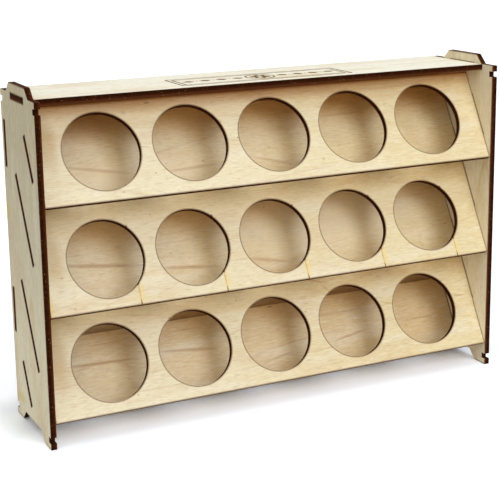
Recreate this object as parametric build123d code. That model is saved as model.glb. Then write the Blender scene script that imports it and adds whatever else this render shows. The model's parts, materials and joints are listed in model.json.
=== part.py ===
# Free-standing stand for round paint pots, laser cut from thin birch plywood.
# Two side panels carry leaning boards whose end tabs pass through slots.
# Each row of pots sits in the bores of one board and leans on the board behind it.
# Stands stack: the ears on top fit the arches between the feet of the stand above.
# Frame: origin under the middle of the stand, +X to the right, front at -Y, +Z up.

import math
import os

from build123d import *

os.makedirs("parts", exist_ok=True)

# Sheet and fits
ply = 3.0  # plywood thickness
tab_clearance = 0.05  # left round a tab in its slot
shoulder_gap = 0.15  # between a board's end and the side panel
rail_gap = 0.35  # from the leaning boards to the back rails

# Rows of pots
row_count = 3
pots_per_row = 5
pot_bore = 40.0  # bore diameter
pot_web = 7.0  # wood left between two bores
bore_border = 5.5  # wood left above and below the bores
end_border = 13.5  # inner face of a side panel to the first bore
pocket_depth = 22.8  # clear depth behind a board, square to it
lean = 28.5  # lean of the boards from upright, degrees

# Where the boards stand in the side panels
front_inset = 0.25  # the boards' lower edges lie this far behind the front
floor_gap = 3.6  # lowest corner of the bottom stop above the floor
stop_overhang = 8.0  # a long board reaches this far above the pots that lean on it
low_stop_overhang = 0.5  # the same for the bottom stop, at both its edges
lid_gap = 2.6  # from the top board to the underside of the top panel

# Tabs
board_tab = 23.5  # tab of a board that is one bore high; a long board's is twice it
rail_tab = 23.5
lid_tab = 22.0

# Top panel and back rails
lid_setback = 9.4  # front edge of the top panel behind the front
rail_height = 48.0
low_rail_height_above_floor = 33.7
back_border = 2.6  # wood left behind the rails' slots

# Outline of the side panels
ear_height = 5.0
ear_foot_margin = 7.2  # ear's foot beyond each end of the lid slot
ear_head_margin = 2.2  # ear's head beyond each end of the lid slot
ear_round = 1.4
stacking_slack = 0.4  # each side of an ear in the arch of the stand above
arch_slack = 0.2  # above the ear in that arch
foot_round = 2.4
notch_size = 3.0
notch_inset = 3.2  # from the shoulder, and from the floor, to the notches
same_place = 0.01  # corners nearer than this lie on the same line

# Engraved ornament on the top panel
engraving_depth = 0.3
engraving_line = 1.1
frame_length = 98.0
frame_width = 25.0
frame_space = 2.6  # from the outer line of the frame to the inner one
rosette_radius = 8.2
petal_count = 8
petal_length = 5.6
petal_width = 2.5
petal_gap = 0.5  # from the ring to the petals' tips
lozenge_count = 4  # on each side of the rosette
lozenge_length = 7.2
lozenge_width = 5.0
dot_diameter = 1.3  # between two lozenges

# Worked out from the sizes above
sine = math.sin(math.radians(lean))
cosine = math.cos(math.radians(lean))
bore_pitch = pot_bore + pot_web
inner_width = 2 * end_border + pots_per_row * pot_bore + (pots_per_row - 1) * pot_web
width = inner_width + 2 * ply
board_length = inner_width - 2 * shoulder_gap
row_pitch = (pocket_depth + ply) / sine  # upright distance between two leaning boards
row_slip = row_pitch * cosine  # how much higher a bore falls on the board behind it

holder_height = pot_bore + 2 * bore_border
long_height = row_slip + bore_border + pot_bore + stop_overhang
stop_low = row_slip + bore_border - low_stop_overhang
stop_high = row_slip + bore_border + pot_bore + low_stop_overhang

bottom_row_z = floor_gap + ply * sine + row_pitch - stop_low * cosine
row_z = [bottom_row_z + row_pitch * row for row in reversed(range(row_count))]
lid_z = row_z[0] + holder_height * cosine + lid_gap  # underside of the top panel
shoulder_z = lid_z + ply

boards_back = front_inset + long_height * sine + ply * cosine
rail_y = boards_back + rail_gap  # front face of the rails, from the stand's front
depth = rail_y + ply + back_border
front = -depth / 2


def leaning_plane(lower_edge_z):
    """Front face of a leaning board: X along the stand, Y up the slope, Z out of the face."""
    origin = (0, front + front_inset, lower_edge_z)
    return Plane(origin=origin, x_dir=(1, 0, 0), z_dir=(0, -cosine, sine))


def tabbed_outline(low, high, tab):
    """Outline of a board between the side panels, with one centred tab at each end."""
    body = Rectangle(board_length, high - low)
    tabs = Rectangle(width, tab)
    return Pos(0, (low + high) / 2) * (body + tabs)


def leaning_board(lower_edge_z, low, high, tab, bored):
    """A board in the leaning plane, from low to high up the slope."""
    outline = tabbed_outline(low, high, tab)
    if bored:
        bore_height = bore_border + pot_bore / 2
        bores = GridLocations(bore_pitch, 0, pots_per_row, 1) * Circle(pot_bore / 2)
        outline -= Pos(0, bore_height) * Sketch(children=bores)
    return extrude(leaning_plane(lower_edge_z) * outline, -ply)


def leaning_slot(lower_edge_z, low, high, tab):
    """The slot for such a board's tab, as a sketch in the side panel's plane."""
    along = (low + high) / 2
    across = ply / 2
    y = front + front_inset + along * sine + across * cosine
    z = lower_edge_z + along * cosine - across * sine
    slot = Rectangle(tab + 2 * tab_clearance, ply + 2 * tab_clearance)
    return Pos(y, z) * Rot(0, 0, 90 - lean) * slot


def upright_slot(y, z, slot_depth, slot_height):
    """A slot for a tab of that size, centred on y and z in the side panel's plane."""
    return Pos(y, z) * Rectangle(slot_depth + 2 * tab_clearance, slot_height + 2 * tab_clearance)


def rail_centre(rail_low_z):
    """Middle of a rail, in the side panel's plane."""
    return front + rail_y + ply / 2, rail_low_z + rail_height / 2


def back_rail(rail_low_z):
    """An upright rail behind the boards."""
    y, z = rail_centre(rail_low_z)
    face = Plane(origin=(0, y + ply / 2, z), x_dir=(1, 0, 0), z_dir=(0, -1, 0))
    body = Rectangle(board_length, rail_height)
    tabs = Rectangle(width, rail_tab)
    return extrude(face * (body + tabs), ply)


def side_outline():
    """Side panel as seen from the end: feet and arch below, an ear above the shoulder."""
    foot_half = lid_tab / 2 + ear_foot_margin
    head_half = lid_tab / 2 + ear_head_margin
    ear_top = shoulder_z + ear_height
    arch_top = ear_height + arch_slack
    mouth_half = foot_half + stacking_slack
    arch_half = head_half + stacking_slack
    shoulders = [(front, 0), (front, shoulder_z), (-foot_half, shoulder_z)]
    ear = [(-head_half, ear_top), (head_half, ear_top)]
    far_side = [(foot_half, shoulder_z), (-front, shoulder_z), (-front, 0)]
    arch = [(mouth_half, 0), (arch_half, arch_top), (-arch_half, arch_top), (-mouth_half, 0)]
    outline = make_face(Polyline(*shoulders, *ear, *far_side, *arch, close=True))
    ear_and_arch = [
        corner
        for corner in outline.vertices()
        if abs(corner.X) < mouth_half - same_place and corner.Y > same_place
    ]
    outline = fillet(ear_and_arch, ear_round)
    foot_tips = [
        corner
        for corner in outline.vertices()
        if abs(abs(corner.X) - mouth_half) < same_place and corner.Y < same_place
    ]
    return fillet(foot_tips, foot_round)


def side_cutouts():
    """Every slot and notch of a side panel."""
    cuts = [leaning_slot(row_z[0], 0, holder_height, board_tab)]
    for z in row_z[1:]:
        cuts.append(leaning_slot(z, 0, long_height, 2 * board_tab))
    cuts.append(leaning_slot(row_z[-1] - row_pitch, stop_low, stop_high, board_tab))
    for rail_low_z in (lid_z - rail_height, low_rail_height_above_floor):
        cuts.append(upright_slot(*rail_centre(rail_low_z), ply, rail_tab))
    cuts.append(upright_slot(0, lid_z + ply / 2, lid_tab, ply))
    for edge in (front, -front):
        for z in (notch_inset + notch_size / 2, shoulder_z - notch_inset - notch_size / 2):
            cuts.append(Pos(edge, z) * Rectangle(2 * notch_size, notch_size))
    return cuts


def side_panel(outer_x, inward):
    """A side panel whose outer face is at outer_x; inward is +1 or -1 along X."""
    outline = side_outline()
    for cut in side_cutouts():
        outline -= cut
    face = Plane(origin=(outer_x, 0, 0), x_dir=(0, 1, 0), z_dir=(1, 0, 0))
    return extrude(face * outline, inward * ply)


def ring_line(length, height):
    """One engraved line round a rectangle."""
    inside = Rectangle(length - 2 * engraving_line, height - 2 * engraving_line)
    return Rectangle(length, height) - inside


def rosette():
    """A ring with pointed petals inside it, each the overlap of two discs."""
    shape = Circle(rosette_radius) - Circle(rosette_radius - engraving_line)
    disc_radius = (petal_length**2 + petal_width**2) / (4 * petal_width)
    disc_offset = disc_radius - petal_width / 2
    petal = Pos(0, disc_offset) * Circle(disc_radius) & Pos(0, -disc_offset) * Circle(disc_radius)
    petal_centre = rosette_radius - engraving_line - petal_gap - petal_length / 2
    for turn in range(petal_count):
        shape += Rot(0, 0, 360 / petal_count * turn) * Pos(petal_centre, 0) * petal
    return shape


def ornament():
    """Double frame, a rosette in the middle, and lozenges with dots between them on each side."""
    shape = ring_line(frame_length, frame_width)
    shape += ring_line(frame_length - 2 * frame_space, frame_width - 2 * frame_space)
    shape += rosette()
    room = frame_length / 2 - frame_space - engraving_line - rosette_radius
    step = room / lozenge_count
    half_length = lozenge_length / 2
    half_width = lozenge_width / 2
    corners = [(half_length, 0), (0, half_width), (-half_length, 0), (0, -half_width)]
    lozenge = Polygon(*corners, align=None)
    dot = Circle(dot_diameter / 2)
    for side in (-1, 1):
        for index in range(lozenge_count):
            shape += Pos(side * (rosette_radius + step * (index + 0.5)), 0) * lozenge
        for index in range(1, lozenge_count):
            shape += Pos(side * (rosette_radius + step * index), 0) * dot
    return shape


def top_panel():
    """The flat top, with a tab at each end and a shallow engraved ornament."""
    panel_depth = depth - lid_setback
    body = Pos(0, lid_setback / 2) * Rectangle(board_length, panel_depth)
    tabs = Rectangle(width, lid_tab)
    panel = extrude(Pos(0, 0, lid_z) * (body + tabs), ply)
    carving = Pos(0, 0, shoulder_z - engraving_depth) * ornament()
    return panel - extrude(carving, engraving_depth)


def save(name, solid):
    """Write one piece to its own file."""
    export_step(solid, f"parts/{name}.step")


save("left_side_panel", side_panel(-width / 2, 1))
save("right_side_panel", side_panel(width / 2, -1))
save("top_panel", top_panel())
save("pot_board_1", leaning_board(row_z[0], 0, holder_height, board_tab, True))
for number, z in enumerate(row_z[1:], start=2):
    save(f"pot_board_{number}", leaning_board(z, 0, long_height, 2 * board_tab, True))
bottom_stop = leaning_board(row_z[-1] - row_pitch, stop_low, stop_high, board_tab, False)
save("bottom_rear_stop", bottom_stop)
save("upper_back_rail", back_rail(lid_z - rail_height))
save("lower_back_rail", back_rail(low_rail_height_above_floor))

print("overall", round(width, 2), round(depth, 2), round(shoulder_z + ear_height, 2))
print("shoulder", round(shoulder_z, 2), "rows at", [round(z, 2) for z in row_z])
print("row pitch", round(row_pitch, 2), "long board", round(long_height, 2))
print("rail front from stand's front", round(rail_y, 2), "top panel underside", round(lid_z, 2))
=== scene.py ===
# Looks of a free-standing stand for round paint pots, laser cut from thin birch plywood.
# Places are in metres; names that end in _mm are millimetres in a sheet's own frame,
# where X runs along the face's grain, Y across it and Z out of the face, which lies at Z 0.

import json
import math
from collections import namedtuple

import bpy
from mathutils import Euler, Matrix, Vector


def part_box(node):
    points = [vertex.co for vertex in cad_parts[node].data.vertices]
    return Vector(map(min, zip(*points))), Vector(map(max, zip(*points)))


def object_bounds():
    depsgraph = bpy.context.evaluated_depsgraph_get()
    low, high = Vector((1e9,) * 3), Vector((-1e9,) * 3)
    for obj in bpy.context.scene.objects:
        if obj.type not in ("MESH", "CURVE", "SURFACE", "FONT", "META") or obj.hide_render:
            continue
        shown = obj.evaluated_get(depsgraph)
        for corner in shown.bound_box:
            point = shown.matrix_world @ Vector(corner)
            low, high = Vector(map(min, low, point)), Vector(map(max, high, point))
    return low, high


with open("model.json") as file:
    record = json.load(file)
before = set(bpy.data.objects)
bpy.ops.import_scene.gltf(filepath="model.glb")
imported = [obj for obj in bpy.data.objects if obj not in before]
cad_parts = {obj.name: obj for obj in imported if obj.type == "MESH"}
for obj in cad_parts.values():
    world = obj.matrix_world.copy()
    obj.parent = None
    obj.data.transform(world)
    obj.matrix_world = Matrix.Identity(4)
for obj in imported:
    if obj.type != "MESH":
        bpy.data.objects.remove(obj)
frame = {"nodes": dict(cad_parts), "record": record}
cad_low, cad_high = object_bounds()

MM = 0.001

# The camera stands near the photograph's place, left of the stand and above it. Its shift is only
# what keeps the stand in the frame, also from other sides, so upright lines lean a little
CAMERA_PLACE = Vector((-0.2999, -0.6029, 0.2588))
CAMERA_YAW = 25.93  # degrees from +Y towards +X
CAMERA_PITCH = 12.83  # degrees down
CAMERA_ROLL = -0.82  # degrees about the line of sight
CAMERA_LENS_MM = 93.25
CAMERA_SENSOR_MM = 36.0
CAMERA_SHIFT_Y = -0.10
CAMERA_NEAREST = 0.01

# Softbox in front: place, the point it looks at, width in metres, power in watts
KEY_BOX = (Vector((0.128, -0.70, 0.50)), Vector((0.0, -0.02, 0.09)), 0.38, 2.90)
KEY_COLOUR = "#D2E4FF"  # daylight
# Distant soft lamps: azimuth in degrees from the front towards +X, elevation in degrees, strength,
# and spread in degrees
FRONT_LAMP = (-6.0, 27.0, 1.17, 55.0)
FRONT_COLOUR = "#FFE8C4"  # light that a warm room throws back
TOP_LAMP = (0.0, 88.0, 1.82, 80.0)
SIDE_LAMP = (-75.0, 20.0, 1.04, 50.0)
BACK_LAMP = (170.0, 18.0, 0.55, 60.0)  # weak, so that the back can be read
FLOOR_BOUNCE = 0.5  # what the floor throws back on the stand, against white
FLOOR_REACH = 0.45  # metres from the stand within which it does
FLOOR_FADE = 1.1  # the bounce is gone at this multiple of that reach
FLOOR_HALF = 4.0  # half the floor's side
PAPER = "#F2F8FF"  # as the camera sees it
PAPER_ROUGHNESS = 0.9
FLOOR_DROP = 0.0001  # keeps the floor out of the feet's undersides
# The floor's own light, seen by the camera alone: in front, and round the other sides
FRONT_GLOW = 0.26
BESIDE_GLOW = 0.27
UNDER_REACH = (0.006, 0.035)  # metres behind the stand's front where it starts to fade, and is gone
BESIDE_REACH = (0.0, 0.03)  # metres beside the stand where it comes back, and is full

# Bores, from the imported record: they give the boards' lean and the sheet's thickness
bores = [m for m in frame["record"]["mounts"] if m["name"].startswith("pot_bore")]
bore_radius_mm = bores[0]["dims"]["r_mm"]
ply_mm = bores[0]["dims"]["length_mm"]
bore_axis = Vector(bores[0]["axis"])
lean = math.asin(bore_axis.z)
bore_pitch_mm = (Vector(bores[1]["pos_m"]) - Vector(bores[0]["pos_m"])).length / MM

# Length along its slot of the tab that each piece passes through the side panels
TAB_MM = {
    "top_panel": 22.0,
    "pot_board_1": 23.5,
    "pot_board_2": 47.0,
    "pot_board_3": 47.0,
    "bottom_rear_stop": 23.5,
    "upper_back_rail": 23.5,
    "lower_back_rail": 23.5,
}

Sheet = namedtuple("Sheet", "origin turn low_mm high_mm")

# Node settings that are used again and again: a smooth step, and one colour over another
SMOOTH = {"interpolation_type": "SMOOTHSTEP"}
COLOURS = {"data_type": "RGBA", "out": 2}


def srgb(colour):
    """Linear red, green, blue and alpha of an sRGB hex colour."""
    parts = [int(colour[i:i + 2], 16) / 255 for i in (1, 3, 5)]
    return (*[p / 12.92 if p <= 0.04045 else ((p + 0.055) / 1.055) ** 2.4 for p in parts], 1.0)


def add(tree, kind, inputs=(), out=0, **settings):
    """Adds a node with its settings, fills or links its inputs, named or from the first one on, and
    returns one output, or the node itself where out is None."""
    node = tree.nodes.new("ShaderNode" + kind)
    for name, value in settings.items():
        setattr(node, name, value)
    filled = inputs if isinstance(inputs, dict) else dict(enumerate(inputs))
    for key, value in filled.items():
        if isinstance(value, bpy.types.NodeSocket):
            tree.links.new(value, node.inputs[key])
        else:
            node.inputs[key].default_value = value
    return node if out is None else node.outputs[out]


def new_material(name):
    """An empty node material and its tree."""
    material = bpy.data.materials.new(name)
    material.use_nodes = True
    material.node_tree.nodes.clear()
    return material, material.node_tree


def sheet_of(node):
    """A node's sheet: its tabs' middle on the face, its frame's turn, its face's corners."""
    low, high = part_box(node)
    reach = -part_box("left_side_panel")[1].x  # boards end at the side panels' inner faces
    if node.endswith("side_panel"):
        lower, upper = Vector((low.x, low.y, low.z)), Vector((low.x, high.y, high.z))
        turn = Euler((0, -math.pi / 2, 0))
    elif node == "top_panel":
        lower, upper = Vector((-reach, low.y, high.z)), Vector((reach, high.y, high.z))
        turn = Euler((0, 0, 0))
    elif node.endswith("rail"):
        lower, upper = Vector((-reach, low.y, low.z)), Vector((reach, low.y, high.z))
        turn = Euler((math.pi / 2, 0, 0))
    else:
        lower = Vector((-reach, low.y, low.z + ply_mm * MM * math.sin(lean)))
        upper = Vector((reach, high.y - ply_mm * MM * math.cos(lean), high.z))
        turn = Euler((math.pi / 2 - lean, 0, 0))
    origin = (lower + upper) / 2
    if node == "top_panel":
        origin.y = 0  # its tabs are centred on the side panels, not on the panel
    corners = [turn.to_matrix().transposed() @ (corner - origin) / MM for corner in (lower, upper)]
    low_mm = [min(a, b) for a, b in zip(*corners)]
    high_mm = [max(a, b) for a, b in zip(*corners)]
    return Sheet(origin, turn, low_mm, high_mm)


# Looks of the parts of a laser cut plywood face, as sRGB colours. A pair of tones is the face's colour
# at the stand's left end and at its right end, or low and high on a side panel; some pairs also hold
# painted shade or sheen, as said beside each
BIRCH = ("#E6DDBE", "#E1D2A5")  # fronts of the boards; paler at the left end, partly the veneer and partly a painted sheen
PALE_BIRCH_PAINTED_SHADE = ("#F2E8CC", "#DACFB0")  # inner faces of the side panels; darker high up, as painted shade
WARM_BIRCH = ("#EAC99A", "#EAC692")  # backs of the boards, and the rails' both faces
STOP_BIRCH = ("#E3D2AE", "#E0C796")  # the bottom stop, warmer than the fronts as painted shade, for it stands deep behind the bottom board
GREY_BIRCH_PAINTED_SHADE = ("#E9E4C9", "#C9C3A7")  # outer faces of the side panels; greyer than the fronts and darker high up, as painted shade
WHITE_BIRCH_PAINTED_SHEEN = ("#ECEBDA", "#ECEBDA")  # the top panel; whiter than the fronts, as a painted sheen
# A layer of grain is a colour, its length along the grain and width across it in mm, the range of
# the noise that it shows in, and its strength. The finest are wider than real fibres, to show
GRAIN = (
    ("#D6BF92", 70.0, 12.0, 0.46, 0.70, 0.45),
    ("#CFB28F", 45.0, 16.0, 0.52, 0.74, 0.35),
    ("#E9E1C9", 55.0, 9.0, 0.50, 0.70, 0.45),
    ("#B99A6C", 5.5, 0.5, 0.50, 0.72, 0.36),
    ("#F3EDDA", 6.5, 0.5, 0.50, 0.72, 0.45),
    ("#C9B084", 3.5, 2.2, 0.50, 0.75, 0.20),
)
OLD_SAP = ("#CDBB7C", 60.0, 20.0, 0.56, 0.70, 0.55)  # one more layer, on the side panels
FIRST_LAYER_SEED = 1.0
LAYER_SEED_STEP = 2.3
# A noise mask is the same without its colour, and has a seed of its own beside the sheet's
WANDER = (140.0, 34.0, 0.2, 0.8, 2.0)  # how far the grain wanders across the sheet, in mm
WANDER_SEED = 0.4
FIBRES = (30.0, 0.7, 0.3, 0.7, 1.0)  # heights of the relief
FIBRES_SEED = 3.3
GROWTH_FIELD = (230.0, 36.0, 0.0, 1.0, 5.0)  # growth lines follow its level lines
GROWTH_FIELD_SEED = 9.1
GROWTH_FADE = (70.0, 25.0, 0.48, 0.70, 0.30)  # where those lines show
GROWTH_FADE_SEED = 5.7
GROWTH_LINE_SPACING = 1.0  # in the field's own units, as the width is
GROWTH_LINE_WIDTH = 0.08
NOISE_ROUGHNESS = 0.55
SEED_STEP = (7.31, 3.17, 1.93)  # moves each mask to another part of the noise
FLECK_SEED_STEP = (1.7, 2.9, 0.0)
BACK_SLICE_MM = 300.0  # the back's grain is another slice of the same wood
GROWTH_LINE = "#BC8E60"
FLECK = "#B99667"
FLECK_CELL_MM = (16.0, 9.0, 16.0)  # one fleck to a cell, along the grain, across it and in depth
FLECK_RAMP = (0.03, 0.075, 0.5, 0.0)  # start and end of a smooth step, and its values there
CHAR = "#2C1103"  # laser cut edge on the side where the beam came in
CHAR_FAR = "#562C14"  # and on the far side
FAR_SIDE = (-0.4, -1.0)  # where it starts and is full, in shares of the sheet's thickness
FAR_SIDE_FROM_BACK = (-0.6, 0.0)  # the same where the beam came in at the back
PLIES = 3
GLUE_LINE = "#180801"  # the two lines of glue between the plies
GLUE_HALF_MM = 0.16
GLUE_STRENGTH = 0.8
PULSE = "#4E2612"  # striations that the laser's pulses leave
PULSE_CELL_MM = (0.9, 0.9, 6.0)  # coarser than the real ones, to show
PULSE_RAMP = (0.45, 0.75, 0.0, 0.5)
SPECK = "#B08458"  # unburnt fibre ends in the edge
SPECK_CELL_MM = (3.2, 3.2, 1.2)
SPECK_RAMP = (0.06, 0.16, 0.55, 0.0)
TOAST = "#6B4526"  # scorched rim of a face beside a cut
TOAST_RAMP = (0.15, 0.9, 0.75, 0.0)  # by mm from the cut
ENGRAVED = "#7E6430"  # lightly burnt, its walls and floor alike
ENGRAVED_DEPTH_MM = (0.1, 0.5)  # its floor lies between these depths
INLAND_MM = 1.0  # walls farther than this from the panel's outline are the engraving's
BROWN_LINE = "#A9764A"  # a growth line that stands out
REDDISH_LINE = "#C98F62"  # a short curl beside a bore
PAINTED_SHADE_BY_LEFT_PANEL = "#B89560"  # painted shade on the boards' left end, beside the left side panel
# painted shade high in the recess behind the top row's first bores, under the lid
BROWN_PAINTED_SHADE_IN_TOP_RECESS = "#8F6440"
PAINTED_LIGHT_PATCH = "#F1E6C8"  # painted light: a paler patch on wood that lies in the recess behind a board above
DEEP_SHADE = "#4A2E1C"  # on wood that stands behind a gap
STAINED = "#D9BE66"  # old sap in the veneer
STREAK = "#E9D08A"  # flashback off a slat
TICK = "#6E4C26"  # a scorch where a cut crosses a slat, or a pin knot
GREY_SPOT = "#A08C7C"  # small stains on the top board
BROWN_SPOT = "#8A6A4C"

EDGE_ROUGHNESS = 0.85
FACE_ROUGHNESS = 0.55
WOOD_IOR = 1.5
WOOD_SPECULAR = 0.03  # unfinished wood hardly shines
RELIEF_STRENGTH = 0.6
RELIEF_HEIGHT = 0.00006  # metres
FACE_COSINE = 0.9  # a surface closer to the sheet's Z than this is a face, not a cut edge

# Painted shade: warm bands up the slope stand in for the shade on the boards under what lies above
# them, and in the recesses behind the bores. A band starts, is full, fades and is gone at these mm
# from the lower edge, and multiplies the veneer by its colour
# painted shade on a board's upper front, under the board above or the lid
PAINTED_SHADE_UNDER_OVERHANG = (34.0, 50.0, 52.0, 62.0, "#FFF6E8")
# painted shade on the top board's upper front, under the lid's edge
PAINTED_SHADE_UNDER_LID_EDGE = (42.0, 51.0, 60.0, 61.0, "#FFEBE0")
# deeper, browner painted shade just below the lid
PAINTED_DARK_SHADE_UNDER_LID = (48.8, 50.6, 60.0, 61.0, "#CBA88C")
# faint painted shade on the part of a board that lies in the recess behind the board above
PAINTED_FAINT_SHADE_IN_RECESS = (52.0, 60.0, 200.0, 201.0, "#FFFBF7")
# warm painted shade high in the recess behind the middle row
PAINTED_SHADE_BEHIND_MIDDLE_ROW = (78.0, 101.0, 200.0, 201.0, "#FCE8CE")
# warmer painted shade high in the recess behind the top row, under the lid
PAINTED_SHADE_BEHIND_TOP_ROW = (78.0, 101.0, 200.0, 201.0, "#EBCA9E")
# painted shade high on the bottom stop, in the recess behind the bottom row
PAINTED_SHADE_BEHIND_BOTTOM_ROW = (27.0, 44.0, 200.0, 201.0, "#FDEEDA")

# A mark is a soft ellipse on a face: its middle along the stand and up from the lower edge, its
# length and width in mm, its turn in degrees, its colour and its strength
BOARD_1_MARKS = (
    # painted shade beside the left side panel
    (-121.0, 31.0, 16.0, 40.0, 0, PAINTED_SHADE_BY_LEFT_PANEL, 0.50),
    (-79.0, 44.0, 4.0, 2.4, -20, GREY_SPOT, 0.35),
    (-66.0, 48.3, 5.0, 1.6, 0, BROWN_SPOT, 0.6),
    (-68.9, 11.6, 1.6, 0.9, 0, TICK, 0.6),
    (-21.0, 25.5, 1.1, 1.1, 0, TICK, 0.9),
    (27.0, 25.5, 1.1, 1.1, 0, TICK, 0.9),
    (74.3, 26.0, 1.1, 1.1, 0, TICK, 0.9),
    (-72.0, 25.5, 12.0, 1.4, -8, BROWN_LINE, 0.25),
    (-24.0, 24.5, 12.0, 1.4, -8, BROWN_LINE, 0.25),
)
BOARD_2_MARKS = (
    # painted light in the recess behind the top row
    (-75.0, 65.0, 120.0, 34.0, 0, PAINTED_LIGHT_PATCH, 0.40),
    # painted shade high in the recess, under the lid
    (-92.0, 97.0, 64.0, 26.0, 0, BROWN_PAINTED_SHADE_IN_TOP_RECESS, 0.42),
    # painted shade beside the left side panel
    (-121.0, 30.0, 16.0, 40.0, 0, PAINTED_SHADE_BY_LEFT_PANEL, 0.42),
    (-90.0, 71.3, 52.0, 2.8, -11, BROWN_LINE, 0.32),
    (-39.0, 67.2, 44.0, 2.8, 3, BROWN_LINE, 0.34),
    (9.5, 66.3, 34.0, 2.6, -16, BROWN_LINE, 0.32),
    (56.5, 88.9, 38.0, 2.0, 2, BROWN_LINE, 0.34),
    (102.0, 91.0, 22.0, 1.4, 6, BROWN_LINE, 0.29),
)
BOARD_3_MARKS = (
    # painted light in the recess behind the middle row, easing the painted shade band
    (50.0, 86.0, 180.0, 60.0, 0, PAINTED_LIGHT_PATCH, 0.46),
    # painted shade beside the left side panel
    (-121.0, 32.0, 16.0, 44.0, 0, PAINTED_SHADE_BY_LEFT_PANEL, 0.48),
    (-89.0, 75.3, 58.0, 3.2, -7, BROWN_LINE, 0.48),
    (-42.0, 68.2, 48.0, 3.0, -6, BROWN_LINE, 0.42),
    (6.0, 65.7, 32.0, 3.0, -12, BROWN_LINE, 0.38),
    (30.0, 50.5, 16.0, 1.8, -18, REDDISH_LINE, 0.5),
    (35.5, 45.5, 10.0, 1.8, -50, REDDISH_LINE, 0.4),
    (71.0, 32.0, 12.0, 1.6, -17, BROWN_LINE, 0.29),
    (118.0, 29.5, 12.0, 1.9, -4, BROWN_LINE, 0.36),
    (-74.3, 26.1, 1.2, 1.2, 0, TICK, 0.9),
)
STOP_MARKS = (
    (-92.0, 24.4, 56.0, 2.6, -2, BROWN_LINE, 0.52),
    (-41.0, 23.4, 50.0, 2.6, -6, BROWN_LINE, 0.44),
    (-88.0, 34.2, 26.0, 1.4, 1, BROWN_LINE, 0.29),
    (-42.0, 34.6, 26.0, 1.4, -1, BROWN_LINE, 0.29),
    (11.0, 11.0, 24.0, 1.9, 10, BROWN_LINE, 0.36),
    (12.0, 39.5, 5.0, 1.0, 0, TICK, 0.8),
    (58.0, 16.0, 30.0, 2.1, 9, BROWN_LINE, 0.43),
    (59.0, 30.0, 34.0, 1.4, 0, BROWN_LINE, 0.29),
    (106.0, 19.0, 28.0, 1.6, 0, BROWN_LINE, 0.36),
)
# On a side panel the first value runs up the stand, and the second back from the front edge
LEFT_PANEL_MARKS = (
    (22.0, 55.0, 18.0, 11.0, 0, STAINED, 0.55),
    (-30.0, 56.0, 13.0, 8.0, 0, STAINED, 0.45),
    (-77.0, 49.0, 9.0, 24.0, 0, STAINED, 0.50),
    (60.0, 20.0, 22.0, 5.0, 4, STAINED, 0.20),
)
RAIL_MARKS = ((0.0, 42.0, 560.0, 24.0, 0, DEEP_SHADE, 0.85),)  # behind the gap under the top panel
# Flashback off the laser bed's slats, one slat to each bore: where a cut crosses a slat it has a
# dark tick, and a yellow streak joins the ticks
SLAT_OFFSET_MM = 13.6  # from a bore's middle to its slat
SLAT_MARKS = (
    (0.8, 6.0, 5.5, 18.0, 0, STREAK, 0.60),
    (0.0, 7.0, 1.2, 13.0, 0, TICK, 0.30),
    (0.0, 0.5, 1.1, 7.0, 0, TICK, 0.95),
    (0.0, 10.8, 2.0, 2.6, 0, TICK, 0.95),
    (0.0, 40.4, 2.0, 2.6, 0, TICK, 0.95),
)
MARK_DEPTH_MM = 1.5  # keeps a mark off the back
MARK_RIM = (0.2, 1.0)  # it is full up to the first share of its reach, and gone at the second


def in_sheet_frame(tree, sheet):
    """A surface point in a sheet's own frame, in mm."""
    return add(tree, "Mapping", {
        "Vector": add(tree, "TexCoord", out="Object"),
        "Location": sheet.origin,
        "Rotation": sheet.turn,
        "Scale": (MM, MM, MM),
    }, vector_type="TEXTURE")


def grain_mask(tree, place, seed, length, width, start, end, amount, detail=2.0):
    """Noise drawn out along the grain, brought to a mask between two of its values."""
    stretched = add(tree, "Mapping", {
        "Vector": place,
        "Location": [seed * step for step in SEED_STEP],
        "Scale": (1 / length, 1 / width, 1 / length),
    })
    noise = add(tree, "TexNoise", {
        "Vector": stretched,
        "Scale": 1.0,
        "Detail": detail,
        "Roughness": NOISE_ROUGHNESS,
    })
    return add(tree, "MapRange", (noise, start, end, 0.0, amount), **SMOOTH)


def run_of_grain(tree, place, seed, is_back):
    """The sheet's frame with its grain wandering, so that bands and lines are never quite straight.
    The back is another slice of the same wood."""
    wander = grain_mask(tree, place, seed + WANDER_SEED, *WANDER, detail=1.0)
    slice_shift = add(tree, "Math", (is_back, BACK_SLICE_MM), operation="MULTIPLY")
    shift = add(tree, "CombineXYZ", {"Y": wander, "Z": slice_shift})
    return add(tree, "VectorMath", (place, shift), operation="ADD")


def base_tones(tree, sheet, along, is_back, tones, back_tones):
    """The tone of both faces, shading from the sheet's one end to its other. Some tones hold painted
    shade, and the top panel's a painted sheen.
    """
    share = add(tree, "MapRange", (along, sheet.low_mm[0], sheet.high_mm[0], 0.0, 1.0), **SMOOTH)
    front = add(tree, "Mix", {0: share, 6: srgb(tones[0]), 7: srgb(tones[1])}, **COLOURS)
    back = add(tree, "Mix", {0: share, 6: srgb(back_tones[0]), 7: srgb(back_tones[1])}, **COLOURS)
    return add(tree, "Mix", {0: is_back, 6: front, 7: back}, **COLOURS)


def draw_grain(tree, face, grain, seed, stains):
    """Layers of grain, and of stains that lie in the veneer as it does."""
    for number, (colour, *layer) in enumerate((*GRAIN, *stains)):
        mask = grain_mask(tree, grain, seed + LAYER_SEED_STEP * number + FIRST_LAYER_SEED, *layer)
        face = add(tree, "Mix", {0: mask, 6: face, 7: srgb(colour)}, **COLOURS)
    return face


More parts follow.
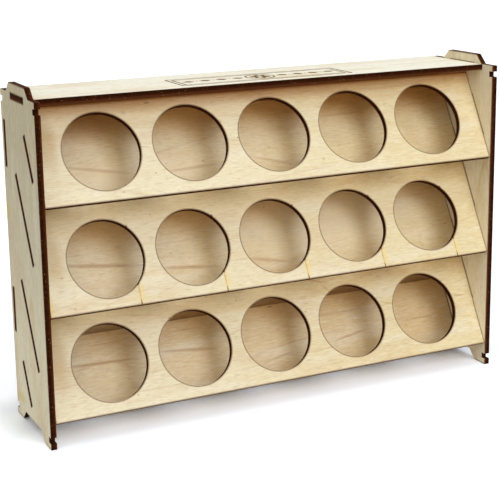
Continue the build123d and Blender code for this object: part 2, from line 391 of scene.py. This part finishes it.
def paint_shade_bands(tree, face, sheet, up, bands):
    """Bands of painted shade across the sheet, each tinting the veneer under it."""
    for *band, colour in bands:
        start, full, fade, gone = [sheet.low_mm[1] + height for height in band]
        begun = add(tree, "MapRange", (up, start, full, 0.0, 1.0), **SMOOTH)
        lasting = add(tree, "MapRange", (up, fade, gone, 1.0, 0.0), **SMOOTH)
        mask = add(tree, "Math", (begun, lasting), operation="MULTIPLY")
        face = add(tree, "Mix", {0: mask, 6: face, 7: srgb(colour)}, blend_type="MULTIPLY", **COLOURS)
    return face


def draw_growth_lines(tree, face, grain, seed):
    """Lines along the level lines of a long smooth noise, as growth rings run on peeled veneer."""
    field = grain_mask(tree, grain, seed + GROWTH_FIELD_SEED, *GROWTH_FIELD, detail=0.0)
    from_line = add(tree, "Math", (field, GROWTH_LINE_SPACING / 2), operation="PINGPONG")
    line = add(tree, "MapRange", (from_line, 0.0, GROWTH_LINE_WIDTH, 1.0, 0.0), **SMOOTH)
    shown = grain_mask(tree, grain, seed + GROWTH_FADE_SEED, *GROWTH_FADE)
    mask = add(tree, "Math", (line, shown), operation="MULTIPLY")
    return add(tree, "Mix", {0: mask, 6: face, 7: srgb(GROWTH_LINE)}, **COLOURS)


def draw_marks(tree, face, place, lower_edge_mm, marks):
    """Soft ellipses over a face, each fading to its rim."""
    for x, up, length, width, turn, colour, strength in marks:
        local = add(tree, "Mapping", {
            "Vector": place,
            "Location": (x, lower_edge_mm + up, 0),
            "Rotation": (0, 0, math.radians(turn)),
            "Scale": (length / 2, width / 2, MARK_DEPTH_MM),
        }, vector_type="TEXTURE")
        reach = add(tree, "VectorMath", (local,), out=1, operation="LENGTH")
        mask = add(tree, "MapRange", (reach, *MARK_RIM, strength, 0.0), **SMOOTH)
        face = add(tree, "Mix", {0: mask, 6: face, 7: srgb(colour)}, **COLOURS)
    return face


def draw_slats(tree, face, sheet, along, up, depth):
    """The marks of the laser bed's slats, folded so that one set serves every bore."""
    half = bore_pitch_mm / 2
    from_slat = add(tree, "Math", (along, SLAT_OFFSET_MM), operation="SUBTRACT")
    from_slat = add(tree, "Math", (from_slat, half, -half), operation="WRAP")
    folded = add(tree, "CombineXYZ", (from_slat, up, depth))
    return draw_marks(tree, face, folded, sheet.low_mm[1], SLAT_MARKS)


def draw_flecks(tree, face, grain, seed):
    """Small brown flecks, sparse and drawn out along the grain."""
    cells = add(tree, "Mapping", {
        "Vector": grain,
        "Location": [seed * step for step in FLECK_SEED_STEP],
        "Scale": [1 / size for size in FLECK_CELL_MM],
    })
    fleck = add(tree, "TexVoronoi", {"Vector": cells, "Scale": 1.0, "Randomness": 1.0})
    mask = add(tree, "MapRange", (fleck, *FLECK_RAMP), **SMOOTH)
    return add(tree, "Mix", {0: mask, 6: face, 7: srgb(FLECK)}, **COLOURS)


def distance_to_cut(tree, node, sheet, place):
    """Millimetres on a face to the nearest cut: a sheet's four sides, its bores or its slots."""
    from_low = add(tree, "VectorMath", (place, sheet.low_mm), operation="SUBTRACT")
    to_high = add(tree, "VectorMath", (sheet.high_mm, place), operation="SUBTRACT")
    nearest = add(tree, "VectorMath", (from_low, to_high), operation="MINIMUM")
    along, up, _ = add(tree, "SeparateXYZ", (nearest,), out=None).outputs
    cut = add(tree, "Math", (along, up), operation="MINIMUM")

    if node.startswith("pot_board"):
        flat = add(tree, "VectorMath", (place, (1, 1, 0)), operation="MULTIPLY")
        to_sheet = sheet.turn.to_matrix().transposed()
        row = node[-1]
        for bore in bores:
            if bore["name"].split("_")[2] != row:
                continue
            centre = to_sheet @ (Vector(bore["pos_m"]) - sheet.origin) / MM
            gap = add(tree, "VectorMath", (flat, (centre.x, centre.y, 0)), out=1, operation="DISTANCE")
            gap = add(tree, "Math", (gap, bore_radius_mm), operation="SUBTRACT")
            cut = add(tree, "Math", (cut, gap), operation="MINIMUM")

    if node.endswith("side_panel"):
        # A slot is a block round its tab, as long and as thick as the tab
        for slotted, tab in TAB_MM.items():
            local = in_sheet_frame(tree, sheet_of(slotted))
            local = add(tree, "VectorMath", (local, (0, 1, 1), (0, 0, ply_mm / 2)),
                        operation="MULTIPLY_ADD")
            local = add(tree, "VectorMath", (local,), operation="ABSOLUTE")
            local = add(tree, "VectorMath", (local, (0, tab / 2, ply_mm / 2)), operation="SUBTRACT")
            local = add(tree, "VectorMath", (local, (0, 0, 0)), operation="MAXIMUM")
            gap = add(tree, "VectorMath", (local,), out=1, operation="LENGTH")
            cut = add(tree, "Math", (cut, gap), operation="MINIMUM")
    return cut


def scorch_rim(tree, face, cut):
    """The brown rim beside every cut."""
    mask = add(tree, "MapRange", (cut, *TOAST_RAMP), **SMOOTH)
    return add(tree, "Mix", {0: mask, 6: face, 7: srgb(TOAST)}, **COLOURS)


def draw_engraving(tree, face, depth):
    """The engraving's floor, told from the face by its depth."""
    shallow, deep = ENGRAVED_DEPTH_MM
    sunk = add(tree, "Math", (depth, -shallow), operation="LESS_THAN")
    raised = add(tree, "Math", (depth, -deep), operation="GREATER_THAN")
    mask = add(tree, "Math", (sunk, raised), operation="MULTIPLY")
    return add(tree, "Mix", {0: mask, 6: face, 7: srgb(ENGRAVED)}, **COLOURS)


def charred_edge(tree, place, depth, beam_from_back):
    """A cut edge: char, glue lines between the plies, and what the laser leaves on them."""
    start, full = [share * ply_mm for share in (FAR_SIDE_FROM_BACK if beam_from_back else FAR_SIDE)]
    far_side = add(tree, "MapRange", (depth, start, full, 0.0, 1.0), **SMOOTH)
    edge = add(tree, "Mix", {0: far_side, 6: srgb(CHAR), 7: srgb(CHAR_FAR)}, **COLOURS)

    middle = add(tree, "Math", (depth, ply_mm / 2), operation="ADD")
    middle = add(tree, "Math", (middle,), operation="ABSOLUTE")
    glue = add(tree, "Math", (middle, ply_mm / PLIES / 2, GLUE_HALF_MM), operation="COMPARE")
    glue = add(tree, "Math", (glue, GLUE_STRENGTH), operation="MULTIPLY")
    edge = add(tree, "Mix", {0: glue, 6: edge, 7: srgb(GLUE_LINE)}, **COLOURS)

    cells = add(tree, "Mapping", {"Vector": place, "Scale": [1 / size for size in PULSE_CELL_MM]})
    pulses = add(tree, "TexNoise", {"Vector": cells, "Scale": 1.0, "Detail": 2.0})
    mask = add(tree, "MapRange", (pulses, *PULSE_RAMP), **SMOOTH)
    edge = add(tree, "Mix", {0: mask, 6: edge, 7: srgb(PULSE)}, **COLOURS)

    cells = add(tree, "Mapping", {"Vector": place, "Scale": [1 / size for size in SPECK_CELL_MM]})
    specks = add(tree, "TexVoronoi", {"Vector": cells, "Scale": 1.0})
    mask = add(tree, "MapRange", (specks, *SPECK_RAMP), **SMOOTH)
    return add(tree, "Mix", {0: mask, 6: edge, 7: srgb(SPECK)}, **COLOURS)


def tell_face(tree, sheet):
    """One on the sheet's two faces, which look along its Z, and nought on every cut edge."""
    outwards = sheet.turn.to_matrix() @ Vector((0, 0, 1))
    normal = add(tree, "TexCoord", out="Normal")
    facing = add(tree, "VectorMath", (normal, outwards), out=1, operation="DOT_PRODUCT")
    facing = add(tree, "Math", (facing,), operation="ABSOLUTE")
    return add(tree, "Math", (facing, FACE_COSINE), operation="GREATER_THAN")


def plywood(node, seed, tones=BIRCH, back_tones=WARM_BIRCH, stains=(), shade_bands=(), marks=(), slats=False,
            beam_from_back=False):
    """Laser cut three-ply birch: sanded pale rotary-cut faces, unfinished, with soft bands, fine
    fibres and a scorched rim, and charred edges that show the plies and their glue lines. Bands and
    marks of painted shade, and a few of painted light, lie where the boards stand in the shade of
    others."""
    sheet = sheet_of(node)
    material, tree = new_material("laser_cut_birch_plywood_" + node)
    place = in_sheet_frame(tree, sheet)
    along, up, depth = add(tree, "SeparateXYZ", (place,), out=None).outputs
    is_back = add(tree, "Math", (depth, -ply_mm / 2), operation="LESS_THAN")
    grain = run_of_grain(tree, place, seed, is_back)
    cut = distance_to_cut(tree, node, sheet, place)

    face = base_tones(tree, sheet, along, is_back, tones, back_tones)
    face = draw_grain(tree, face, grain, seed, stains)
    face = paint_shade_bands(tree, face, sheet, up, shade_bands)
    face = draw_growth_lines(tree, face, grain, seed)
    face = draw_marks(tree, face, place, sheet.low_mm[1], marks)
    if slats:
        face = draw_slats(tree, face, sheet, along, up, depth)
    face = draw_flecks(tree, face, grain, seed)
    face = scorch_rim(tree, face, cut)
    edge = charred_edge(tree, place, depth, beam_from_back)
    if node == "top_panel":
        face = draw_engraving(tree, face, depth)
        inland = add(tree, "Math", (cut, INLAND_MM), operation="GREATER_THAN")
        edge = add(tree, "Mix", {0: inland, 6: edge, 7: srgb(ENGRAVED)}, **COLOURS)

    is_face = tell_face(tree, sheet)
    fibres = grain_mask(tree, grain, seed + FIBRES_SEED, *FIBRES)
    shader = add(tree, "BsdfPrincipled", {
        "Base Color": add(tree, "Mix", {0: is_face, 6: edge, 7: face}, **COLOURS),
        "Roughness": add(tree, "MapRange", (is_face, 0.0, 1.0, EDGE_ROUGHNESS, FACE_ROUGHNESS)),
        "IOR": WOOD_IOR,
        "Specular IOR Level": WOOD_SPECULAR,
        "Normal": add(tree, "Bump", {
            "Strength": RELIEF_STRENGTH,
            "Distance": RELIEF_HEIGHT,
            "Height": fibres,
        }),
    })
    add(tree, "OutputMaterial", {"Surface": shader}, out=None)
    for slot in frame["nodes"][node].material_slots:
        slot.material = material


plywood("left_side_panel", 1, GREY_BIRCH_PAINTED_SHADE, PALE_BIRCH_PAINTED_SHADE, stains=(OLD_SAP,), marks=LEFT_PANEL_MARKS)
plywood("right_side_panel", 2, PALE_BIRCH_PAINTED_SHADE, GREY_BIRCH_PAINTED_SHADE, stains=(OLD_SAP,), beam_from_back=True)
plywood("top_panel", 3, WHITE_BIRCH_PAINTED_SHEEN)
plywood("pot_board_1", 4, shade_bands=(PAINTED_SHADE_UNDER_OVERHANG, PAINTED_SHADE_UNDER_LID_EDGE, PAINTED_DARK_SHADE_UNDER_LID), marks=BOARD_1_MARKS)
plywood("pot_board_2", 5, shade_bands=(PAINTED_SHADE_UNDER_OVERHANG, PAINTED_FAINT_SHADE_IN_RECESS, PAINTED_SHADE_BEHIND_TOP_ROW), marks=BOARD_2_MARKS,
        slats=True)
plywood("pot_board_3", 6, shade_bands=(PAINTED_SHADE_UNDER_OVERHANG, PAINTED_FAINT_SHADE_IN_RECESS, PAINTED_SHADE_BEHIND_MIDDLE_ROW), marks=BOARD_3_MARKS)
plywood("bottom_rear_stop", 7, STOP_BIRCH, shade_bands=(PAINTED_SHADE_BEHIND_BOTTOM_ROW,), marks=STOP_MARKS)
plywood("upper_back_rail", 8, WARM_BIRCH, marks=RAIL_MARKS)
plywood("lower_back_rail", 9, WARM_BIRCH)


def light_from(name, azimuth, elevation, strength, spread, colour="#FFFFFF"):
    """A distant lamp from that azimuth, measured from the front towards +X, and elevation."""
    lamp = bpy.data.lights.new(name, "SUN")
    lamp.energy = strength
    lamp.color = srgb(colour)[:3]
    lamp.angle = math.radians(spread)
    holder = bpy.data.objects.new(name, lamp)
    bpy.context.scene.collection.objects.link(holder)
    turn = Matrix.Rotation(math.radians(azimuth), 4, "Z")
    holder.matrix_world = turn @ Matrix.Rotation(math.radians(90 - elevation), 4, "X")


def softbox(name, place, aim, width, power, colour="#FFFFFF"):
    """A square lamp near the stand that looks at a point."""
    lamp = bpy.data.lights.new(name, "AREA")
    lamp.energy = power
    lamp.color = srgb(colour)[:3]
    lamp.size = width
    holder = bpy.data.objects.new(name, lamp)
    holder.visible_camera = False
    bpy.context.scene.collection.objects.link(holder)
    turn = (aim - place).to_track_quat("-Z", "Y").to_matrix().to_4x4()
    holder.matrix_world = Matrix.Translation(place) @ turn


def seen_by_camera(tree):
    """One for what the camera sees, straight, mirrored or through glass, and nought for light."""
    rays = add(tree, "LightPath", out=None).outputs
    seen = add(tree, "Math", (rays["Is Camera Ray"], rays["Is Glossy Ray"]), operation="ADD")
    return add(tree, "Math", (seen, rays["Is Transmission Ray"]), operation="ADD")


def matt_white_paper():
    """Matt white paper: even, without gloss. Its own light shows to the camera alone and fades under
    the stand, so the shadow stays. What it throws back on the stand has a strength of its own."""
    material, tree = new_material("matt_white_paper")
    seen = seen_by_camera(tree)
    place = add(tree, "NewGeometry")
    away = add(tree, "VectorMath", (place,), operation="ABSOLUTE")
    away = add(tree, "VectorMath", (away, (cad_high.x, cad_high.y, 0)), operation="SUBTRACT")
    away = add(tree, "VectorMath", (away, (0, 0, 0)), operation="MAXIMUM")
    away = add(tree, "VectorMath", (away,), out=1, operation="LENGTH")
    beside = add(tree, "MapRange", (away, *BESIDE_REACH, 0.0, BESIDE_GLOW), **SMOOTH)
    behind = add(tree, "SeparateXYZ", (place,), out=1)
    start, gone = [cad_low.y + reach for reach in UNDER_REACH]
    under = add(tree, "MapRange", (behind, start, gone, FRONT_GLOW, 0.0), **SMOOTH)
    glow = add(tree, "Math", (beside, under), operation="MAXIMUM")
    fade = (FLOOR_REACH, FLOOR_FADE * FLOOR_REACH)
    bounce = add(tree, "MapRange", (away, *fade, FLOOR_BOUNCE, 0.0), **SMOOTH)
    bounce = add(tree, "CombineColor", (bounce, bounce, bounce))
    shader = add(tree, "BsdfPrincipled", {
        "Base Color": add(tree, "Mix", {0: seen, 6: bounce, 7: srgb(PAPER)}, **COLOURS),
        "Roughness": PAPER_ROUGHNESS,
        "Emission Color": (1, 1, 1, 1),
        "Emission Strength": add(tree, "Math", (seen, glow), operation="MULTIPLY"),
    })
    add(tree, "OutputMaterial", {"Surface": shader}, out=None)
    return material


def lay_floor():
    """A white floor, which is no piece of the stand."""
    square = ((-1, -1), (1, -1), (1, 1), (-1, 1))
    corners = [(x * FLOOR_HALF, y * FLOOR_HALF, -FLOOR_DROP) for x, y in square]
    mesh = bpy.data.meshes.new("studio_floor")
    mesh.from_pydata(corners, [], [(0, 1, 2, 3)])
    mesh.materials.append(matt_white_paper())
    floor = bpy.data.objects.new("studio_floor", mesh)
    bpy.context.scene.collection.objects.link(floor)


def stand_in_studio():
    """White floor, white room that gives no light of its own, and the lamps."""
    lay_floor()
    world = bpy.data.worlds.new("pale_room")
    bpy.context.scene.world = world
    world.use_nodes = True
    tree = world.node_tree
    tree.nodes.clear()
    background = add(tree, "Background", {"Color": (1, 1, 1, 1), "Strength": seen_by_camera(tree)})
    add(tree, "OutputWorld", {"Surface": background}, out=None)

    softbox("key_box", *KEY_BOX, KEY_COLOUR)
    light_from("front_lamp", *FRONT_LAMP, FRONT_COLOUR)
    light_from("top_lamp", *TOP_LAMP)
    light_from("side_lamp", *SIDE_LAMP)
    light_from("back_lamp", *BACK_LAMP)


def place_camera():
    """The camera, turned by yaw, then pitch, then roll about its own line of sight."""
    camera = bpy.data.cameras.new("camera")
    camera.sensor_width = CAMERA_SENSOR_MM
    camera.lens = CAMERA_LENS_MM
    camera.shift_y = CAMERA_SHIFT_Y
    camera.clip_start = CAMERA_NEAREST
    holder = bpy.data.objects.new("camera", camera)
    bpy.context.scene.collection.objects.link(holder)
    turn = Matrix.Rotation(math.radians(-CAMERA_YAW), 4, "Z")
    turn = turn @ Matrix.Rotation(math.radians(90 - CAMERA_PITCH), 4, "X")
    turn = turn @ Matrix.Rotation(math.radians(CAMERA_ROLL), 4, "Z")
    holder.matrix_world = Matrix.Translation(CAMERA_PLACE) @ turn
    bpy.context.scene.camera = holder


stand_in_studio()
place_camera()
bpy.context.scene.view_settings.view_transform = "Standard"
